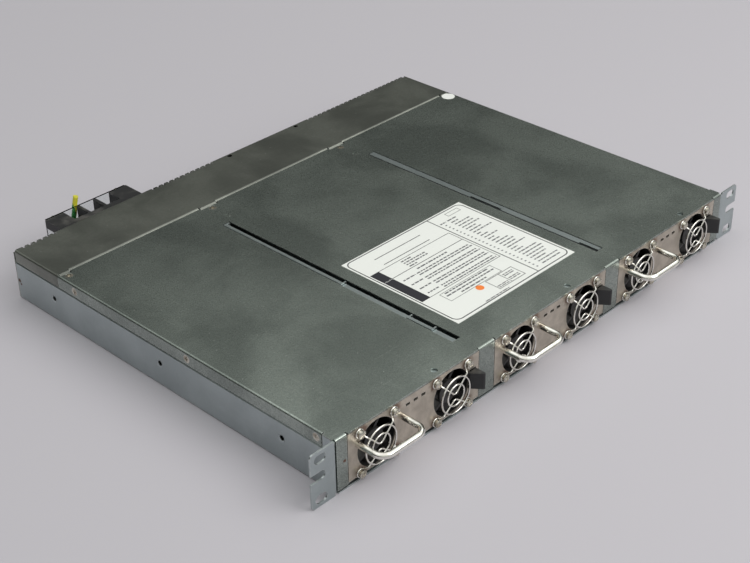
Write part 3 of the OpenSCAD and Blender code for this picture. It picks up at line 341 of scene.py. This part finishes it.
def moulded_plastic(name, colour, rough):
    """Fine grained plastic with dust on the faces that look up."""
    m, sh, body = new_material(name, Metallic=0.0)
    at = sh.place()
    grain = sh.effect(SAND, Place=at, Size=0.0004, Contrast=0.8)
    dust = sh.effect(CLOUD, Place=at, Size=0.012, Low=0.45, High=0.75)
    up = sh.split(sh.normal())[2]
    film = sh.times(dust, sh.between(up, 0.2, 0.9, 0.06, 0.3))
    sh.feed(body["Base Color"], sh.blend(film, colour, PLASTIC_DUST_COLOUR))
    sh.feed(body["Roughness"], sh.between(grain, 0.0, 1.0, rough - 0.08, rough + 0.12))
    sh.feed(body["Normal"], sh.bump(grain, 0.15, 0.0001))
    return m


def bright_plate(name, colour, rough, stain):
    """Bright metal, tarnished in patches and scratched."""
    m, sh, body = new_material(name, Metallic=1.0)
    at = sh.place()
    cloud = sh.effect(CLOUD, Place=at, Size=0.006, Low=0.45, High=0.7)
    scratch = sh.effect(SCRATCH, Place=at, Amount=1.0)
    sh.feed(body["Base Color"], sh.blend(sh.times(cloud, stain), colour, TARNISH_COLOUR))
    sh.feed(body["Roughness"], sh.plus(rough, sh.times(sh.larger(cloud, scratch), 0.16)))
    return m


def printed_film(name, colour):
    m, sh, body = new_material(name, Metallic=0.0)
    at = sh.place()
    grain = sh.effect(SAND, Place=at, Size=0.0005, Contrast=0.7)
    wear = sh.effect(CLOUD, Place=at, Size=0.03, Low=0.5, High=0.8)
    sh.feed(body["Base Color"], sh.blend(sh.times(wear, 0.2), colour, [c * 0.86 for c in colour]))
    sh.feed(body["Roughness"], sh.between(grain, 0.0, 1.0, 0.34, 0.46))
    return m


def clear_sheet(name):
    m, sh, body = new_material(name, Metallic=0.0, Transmission_Weight=1.0, IOR=1.49,
                               Base_Color=(0.92, 0.95, 0.95, 1))
    haze = sh.effect(CLOUD, Place=sh.place(), Size=0.01, Low=0.4, High=0.8)
    sh.feed(body["Roughness"], sh.between(haze, 0.0, 1.0, 0.03, 0.14))
    return m


def wire_jacket(name):
    """Green jacket with a yellow stripe along its right half."""
    stripe_x, soft = -0.1412, 0.0004
    m, sh, body = new_material(name, Metallic=0.0)
    at = sh.place()
    stripe = sh.between(sh.minus(sh.split(at)[0], stripe_x), -soft, soft)
    grain = sh.effect(SAND, Place=at, Size=0.0006, Contrast=0.6)
    sh.feed(body["Base Color"], sh.blend(stripe, (0.03, 0.23, 0.05), (0.62, 0.58, 0.04)))
    sh.feed(body["Roughness"], sh.between(grain, 0.0, 1.0, 0.38, 0.5))
    return m


# each rust spot is its place and its radius
SIDE_RUST = [((-0.2195, 0.3469, -0.0053), 0.0022), ((-0.2195, 0.3452, -0.0078), 0.0013)]
STRIP_RUST = [((-0.2112, -0.0012, 0.0015), 0.0016)]
finish_of = {
    "zinc_plate": plated_sheet(
        "zinc_plate", light=(0.52, 0.57, 0.57), dark=(0.36, 0.41, 0.42), rough=(0.26, 0.36),
        metallic=0.9, grain=0.0008, contrast=0.7, stain=0.3, stain_size=0.05, edge=0.6,
        rust=SIDE_RUST),
    "cover_plate": plated_sheet(
        "cover_plate", light=(0.5, 0.545, 0.5), dark=(0.2, 0.23, 0.215), rough=(0.2, 0.34),
        metallic=0.92, grain=0.0008, contrast=1.9, stain=0.5, stain_size=0.075, edge=0.7,
        specks=0.6, rust=STRIP_RUST),
    "cover_plate_dark": plated_sheet(
        "cover_plate_dark", light=(0.34, 0.35, 0.31), dark=(0.155, 0.163, 0.147), rough=(0.28, 0.42),
        metallic=0.9, grain=0.0008, contrast=1.2, stain=0.6, stain_size=0.06, edge=0.5,
        specks=0.4),
    "panel_paint": plated_sheet(
        "panel_plate", light=(0.62, 0.56, 0.48), dark=(0.42, 0.37, 0.31), rough=(0.3, 0.42),
        metallic=0.8, grain=0.0007, contrast=0.8, stain=0.45, stain_size=0.012, edge=0.5,
        grime=0.8),
    "chrome_rod": bright_plate("bright_wire", (0.83, 0.81, 0.76), 0.13, 0.35),
    "bright_screws": bright_plate("plated_screws", (0.6, 0.57, 0.5), 0.24, 0.8),
    "bright_steel": bright_plate("tinned_steel", (0.7, 0.7, 0.68), 0.28, 0.2),
    "aluminium": bright_plate("bare_aluminium", (0.72, 0.73, 0.74), 0.34, 0.1),
    "tinned_copper": bright_plate("tinned_bar", (0.72, 0.69, 0.62), 0.3, 0.25),
    "black_plastic": moulded_plastic("black_plastic", (0.012, 0.012, 0.013), 0.45),
    "rotor_plastic": moulded_plastic("rotor_plastic", (0.012, 0.011, 0.011), 0.32),
    "clear_plastic": clear_sheet("clear_sheet"),
    "circuit_board": moulded_plastic("solder_resist", (0.02, 0.09, 0.035), 0.38),
    "earth_wire": wire_jacket("wire_jacket"),
    "paper_label": printed_film("white_film", (0.78, 0.79, 0.76)),
}
for part in frame["record"]["subparts"]:
    if part["node"] in nodes:
        mesh = nodes[part["node"]].data
        mesh.materials.clear()
        mesh.materials.append(finish_of[part["material_slot"]])


# ---------- pieces ----------
def new_piece(name, verts, faces, material, body):
    """A mesh from points in mm, carried by a body."""
    mesh = bpy.data.meshes.new(name)
    mesh.from_pydata([Vector(v) * MM for v in verts], [], faces)
    mesh.materials.append(material)
    piece = bpy.data.objects.new(name, mesh)
    bpy.context.scene.collection.objects.link(piece)
    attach(piece, body)
    return piece


# ---------- earth wire ----------
EARTH_ROUTE = [
    (-147, 362, -10.7), (-147, 368, -10.7), (-146.6, 373, -10.3), (-146, 376.4, -8.6),
    (-145, 378.9, -5.4), (-144, 380.2, -1), (-143, 380.6, 4), (-141, 380.6, 11),
    (-139, 380.6, 18), (-137.4, 380.6, 24)]
WIRE_R = 2.1
WIRE_SIDES = 16
STEPS_A_LEG = 3


def smooth_route(route):
    """A curve through every point of the route, in short steps."""
    fine = []
    for i in range(len(route) - 1):
        a, b = route[max(i - 1, 0)], route[i]
        c, d = route[i + 1], route[min(i + 2, len(route) - 1)]
        for k in range(STEPS_A_LEG):
            t = k / STEPS_A_LEG
            fine.append(0.5 * ((2 * b) + (c - a) * t + (2 * a - 5 * b + 4 * c - d) * t * t
                               + (3 * b - a - 3 * c + d) * t ** 3))
    return fine + [route[-1]]


def make_earth_wire():
    """The wire with its two flat capped ends, swept along its route."""
    fine = smooth_route([Vector(p) for p in EARTH_ROUTE])
    verts, faces = [], []
    for i, p in enumerate(fine):
        along = (fine[min(i + 1, len(fine) - 1)] - fine[max(i - 1, 0)]).normalized()
        u = along.cross(Vector((1, 0, 0))).normalized()
        v = along.cross(u)
        for k in range(WIRE_SIDES):
            a = 2 * math.pi * k / WIRE_SIDES
            verts.append(p + WIRE_R * (math.cos(a) * u + math.sin(a) * v))
    for first in range(0, (len(fine) - 1) * WIRE_SIDES, WIRE_SIDES):
        for k in range(WIRE_SIDES):
            n = (k + 1) % WIRE_SIDES
            faces.append((first + k, first + n, first + WIRE_SIDES + n, first + WIRE_SIDES + k))
    last = (len(fine) - 1) * WIRE_SIDES
    faces.append(tuple(reversed(range(WIRE_SIDES))))
    faces.append(tuple(range(last, last + WIRE_SIDES)))
    wire = new_piece("earth_wire_jacket", verts, faces, finish_of["earth_wire"], "shelf")
    for f in wire.data.polygons[:-2]:
        f.use_smooth = True
    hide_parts("earth_wire")


make_earth_wire()


# ---------- label print ----------
INK_SUNK, INK_RAISED = 0.02, 0.03
GAP_BETWEEN_WORDS = 0.8
SHORTEST_WORD = 0.6
CORNER_STEPS = 6


class Print:
    """Thin raised shapes on the label, in mm from its middle (x) and front edge (y)."""

    def __init__(self):
        low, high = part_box("rating_label")
        self.x = (low[0] + high[0]) / 2 / MM
        self.y = low[1] / MM
        self.z = high[2] / MM
        self.verts, self.faces = [], []

    def slab(self, outline):
        n, first = len(outline), len(self.verts)
        for z in (self.z - INK_SUNK, self.z + INK_RAISED):
            self.verts += [(self.x + x, self.y + y, z) for x, y in outline]
        self.faces.append([first + k for k in reversed(range(n))])
        self.faces.append([first + n + k for k in range(n)])
        for k in range(n):
            after = (k + 1) % n
            self.faces.append([first + k, first + after, first + n + after, first + n + k])

    def bar(self, x0, y0, x1, y1):
        self.slab([(x0, y0), (x1, y0), (x1, y1), (x0, y1)])

    def disc(self, x, y, r, sides=28):
        turns = [2 * math.pi * k / sides for k in range(sides)]
        self.slab([(x + r * math.cos(a), y + r * math.sin(a)) for a in turns])

    def box(self, x0, y0, x1, y1, line):
        self.bar(x0, y0, x1, y0 + line)
        self.bar(x0, y1 - line, x1, y1)
        self.bar(x0, y0 + line, x0 + line, y1 - line)
        self.bar(x1 - line, y0 + line, x1, y1 - line)

    def round_box(self, x0, y0, x1, y1, line, corner):
        left, right, low, high = x0 + corner, x1 - corner, y0 + corner, y1 - corner
        rings = []
        for r in (corner, corner - line):
            ring = []
            for quarter, (x, y) in enumerate(((right, high), (left, high), (left, low), (right, low))):
                for k in range(CORNER_STEPS + 1):
                    a = (quarter + k / CORNER_STEPS) * math.pi / 2
                    ring.append((x + r * math.cos(a), y + r * math.sin(a)))
            rings.append(ring)
        outer, inner = rings
        for k in range(len(outer)):
            after = (k + 1) % len(outer)
            self.slab([outer[k], outer[after], inner[after], inner[k]])

    def words(self, x0, y, x1, high, dice):
        """A row of short dashes in place of words."""
        x = x0
        while x < x1 - SHORTEST_WORD:
            w = min(dice.uniform(1.6, 5.2), x1 - x)
            self.bar(x, y - high / 2, x + w, y + high / 2)
            x += w + GAP_BETWEEN_WORDS

    def piece(self, name, material):
        new_piece(name, self.verts, self.faces, material, "shelf")


def print_label():
    ink = printed_film("label_ink", (0.018, 0.018, 0.024))
    grey = printed_film("label_small_rows", (0.12, 0.12, 0.13))
    orange = printed_film("label_dot_ink", (0.85, 0.22, 0.04))
    dice = random.Random(7)
    solid, small, dot = Print(), Print(), Print()
    solid.round_box(-65, 2.4, 64.8, 115.2, 0.9, 6)
    solid.bar(26.1, 3.3, 26.9, 114.3)
    for y in (103.7, 93.7):
        solid.bar(-43.8, y - 0.35, 6.6, y + 0.35)
    # table with two dark headings
    solid.box(-63, 37.5, 24.2, 89.8, 0.5)
    solid.bar(-63, 75.1, 24.2, 75.7)
    solid.bar(-63, 75.8, -54.2, 89.5)
    solid.bar(-63, 37.5, -54.2, 74.8)
    for y, length in ((86.7, 11), (83.8, 23), (80.9, 23), (77.9, 8)):
        small.words(-32.8, y, -32.8 + length, 1.3, dice)
    small.words(-31.5, 71.5, 1.5, 1.5, dice)
    for top, low in ((67, 64.2), (58.8, 56), (50.7, 47.9), (42.8, 40)):
        small.words(-51.2, top, -38.2, 1.3, dice)
        small.words(-36.7, top, 20.5, 1.3, dice)
        small.words(-36.7, low, 22, 1.3, dice)
    # notes under the table
    solid.box(-47.8, 23, 8.5, 35, 0.4)
    for x0, y, x1 in ((-43.8, 33, 4.2), (-45.3, 29.7, 6.5), (-33.5, 26, -6)):
        small.words(x0, y, x1, 1.4, dice)
    dot.disc(-20.3, 19.8, 3.3)
    solid.box(-11.7, 7.8, 17.6, 22.4, 0.5)
    solid.bar(2.4, 8.3, 2.9, 21.9)
    for y in (19, 17, 13, 11):
        small.words(4.2, y, 15, 1.0, dice)
    for y in (11.4, 9.6):
        small.words(-10.4, y, 1.2, 0.9, dice)
    small.words(-31.5, 4.5, -5.5, 1.0, dice)
    # right column: a list with a mark before each row
    solid.box(43.5, 106.8, 58.2, 111.5, 0.4)
    small.words(29, 102.5, 35.5, 1.4, dice)
    small.words(37.2, 102.5, 47, 1.4, dice)
    row_count, first_row_y, row_pitch = 25, 98.5, 3.77
    for k in range(row_count):
        y = first_row_y - row_pitch * k
        small.bar(30.7, y - 0.6, 32.3, y + 0.6)
        small.words(37.5, y, 37.5 + dice.uniform(5, 23), 1.25, dice)
    solid.piece("label_print_solid", ink)
    small.piece("label_print_rows", grey)
    dot.piece("label_print_dot", orange)


print_label()


# ---------- floor and light ----------
FLOOR_HALF = 6.0
FLOOR_COLOUR = (0.47, 0.45, 0.485)
BACKDROP_COLOUR = (0.46, 0.45, 0.49)
FAR_WALL_COLOUR = (0.012, 0.013, 0.01)
NEAR_WALL_COLOUR = (0.8, 0.83, 0.79)
CEILING_COLOUR = (1.3, 1.313, 1.3)


def lay_floor():
    low, s = cad_box[0][2], FLOOR_HALF
    mesh = bpy.data.meshes.new("floor")
    mesh.from_pydata([(-s, -s, low), (s, -s, low), (s, s, low), (-s, s, low)], [], [(0, 1, 2, 3)])
    floor = bpy.data.objects.new("floor", mesh)
    bpy.context.scene.collection.objects.link(floor)
    m, sh, body = new_material("pale_floor", Metallic=0.0, Roughness=0.7, Base_Color=FLOOR_COLOUR)
    mesh.materials.append(m)


def light_room():
    """Soft light from above; the wall ahead is dark low down, so that it mirrors dark in the lid."""
    world = bpy.data.worlds.new("soft_room")
    bpy.context.scene.world = world
    bpy.context.scene.view_settings.view_transform = "Standard"
    world.use_nodes = True
    world.node_tree.nodes.clear()
    sh = Shader(world.node_tree)
    _, ahead, up = sh.split(sh.node("ShaderNodeTexCoord").outputs["Generated"])[0:3]
    wall_share = sh.between(sh.minus(up, sh.times(ahead, 0.3)), 0.33, 0.5)
    wall = sh.blend(wall_share, FAR_WALL_COLOUR, NEAR_WALL_COLOUR)
    room = sh.blend(sh.between(up, 0.72, 0.86), wall, CEILING_COLOUR)
    seen = sh.node("ShaderNodeLightPath").outputs["Is Camera Ray"]
    back = sh.node("ShaderNodeBackground", {"Color": sh.blend(seen, room, BACKDROP_COLOUR), "Strength": 1.0})
    sh.node("ShaderNodeOutputWorld", {"Surface": back.outputs[0]})


def hang_lamp(name, place, aim, size, power, colour):
    light = bpy.data.lights.new(name, "AREA")
    light.shape = "RECTANGLE"
    light.size, light.size_y = size
    light.energy = power
    light.color = colour
    o = bpy.data.objects.new(name, light)
    o.location = place
    o.rotation_mode = "QUATERNION"
    o.rotation_quaternion = (Vector(aim) - Vector(place)).to_track_quat("-Z", "Y")
    bpy.context.scene.collection.objects.link(o)


lay_floor()
light_room()
hang_lamp("front_lamp", (0.5, -1.2, 1.3), (0.0, -0.1, 0), (1.2, 0.8), 12, (1, 0.99, 0.97))
hang_lamp("right_window", (1.4, -0.3, 1.5), (0, 0.15, 0), (2.2, 0.6), 5, (1, 0.98, 0.95))
